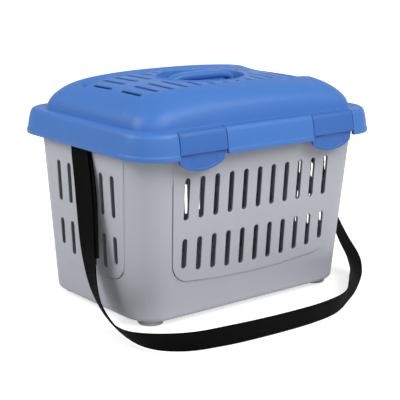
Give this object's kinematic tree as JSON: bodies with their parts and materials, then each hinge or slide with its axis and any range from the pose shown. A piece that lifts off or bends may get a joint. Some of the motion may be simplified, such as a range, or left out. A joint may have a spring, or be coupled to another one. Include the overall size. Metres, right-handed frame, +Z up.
{
  "type": "small animal carrier",
  "caption": "Small animal carrier: ventilated tub, domed lid with grille and recessed grip, swing clips and a webbing shoulder strap.",
  "frame": {"origin": "on the floor under the middle of the tub", "axes": "+X along the long side to the right seen from the front, +Y from the front to the back, +Z up"},
  "size_m": [0.5075, 0.4121, 0.3275],
  "materials": {
    "tub_plastic": "satin moulded plastic",
    "lid_plastic": "satin moulded plastic",
    "clip_plastic": "satin moulded plastic",
    "handle_plastic": "satin moulded plastic",
    "webbing": "ribbed woven webbing"
  },
  "bodies": {
    "tub_body": {"tub": "tub_plastic", "strap_loop_left": "webbing", "strap_loop_right": "webbing", "shoulder_strap": "webbing"},
    "lid_body": {"lid": "lid_plastic", "carry_handle": "handle_plastic"},
    "clip_front_left_body": {"clip_front_left": "clip_plastic"},
    "clip_front_right_body": {"clip_front_right": "clip_plastic"},
    "clip_rear_left_body": {"clip_rear_left": "clip_plastic"},
    "clip_rear_right_body": {"clip_rear_right": "clip_plastic"}
  },
  "joints": [
    {"name": "lid_hinge", "type": "hinge", "parent": "tub_body", "child": "lid_body", "pos_m": [0, 0.1464, 0.2491], "axis": [-1, 0, 0], "range_deg": [0, 30]},
    {"name": "clip_front_left_hinge", "type": "hinge", "parent": "lid_body", "child": "clip_front_left_body", "pos_m": [-0.121, -0.1512, 0.2699], "axis": [-1, 0, 0], "range_deg": [0, 65]},
    {"name": "clip_front_right_hinge", "type": "hinge", "parent": "lid_body", "child": "clip_front_right_body", "pos_m": [0.121, -0.1512, 0.2699], "axis": [-1, 0, 0], "range_deg": [0, 65]},
    {"name": "clip_rear_left_hinge", "type": "hinge", "parent": "lid_body", "child": "clip_rear_left_body", "pos_m": [-0.121, 0.1512, 0.2699], "axis": [1, 0, 0], "range_deg": [0, 65]},
    {"name": "clip_rear_right_hinge", "type": "hinge", "parent": "lid_body", "child": "clip_rear_right_body", "pos_m": [0.121, 0.1512, 0.2699], "axis": [1, 0, 0], "range_deg": [0, 65]}
  ]
}
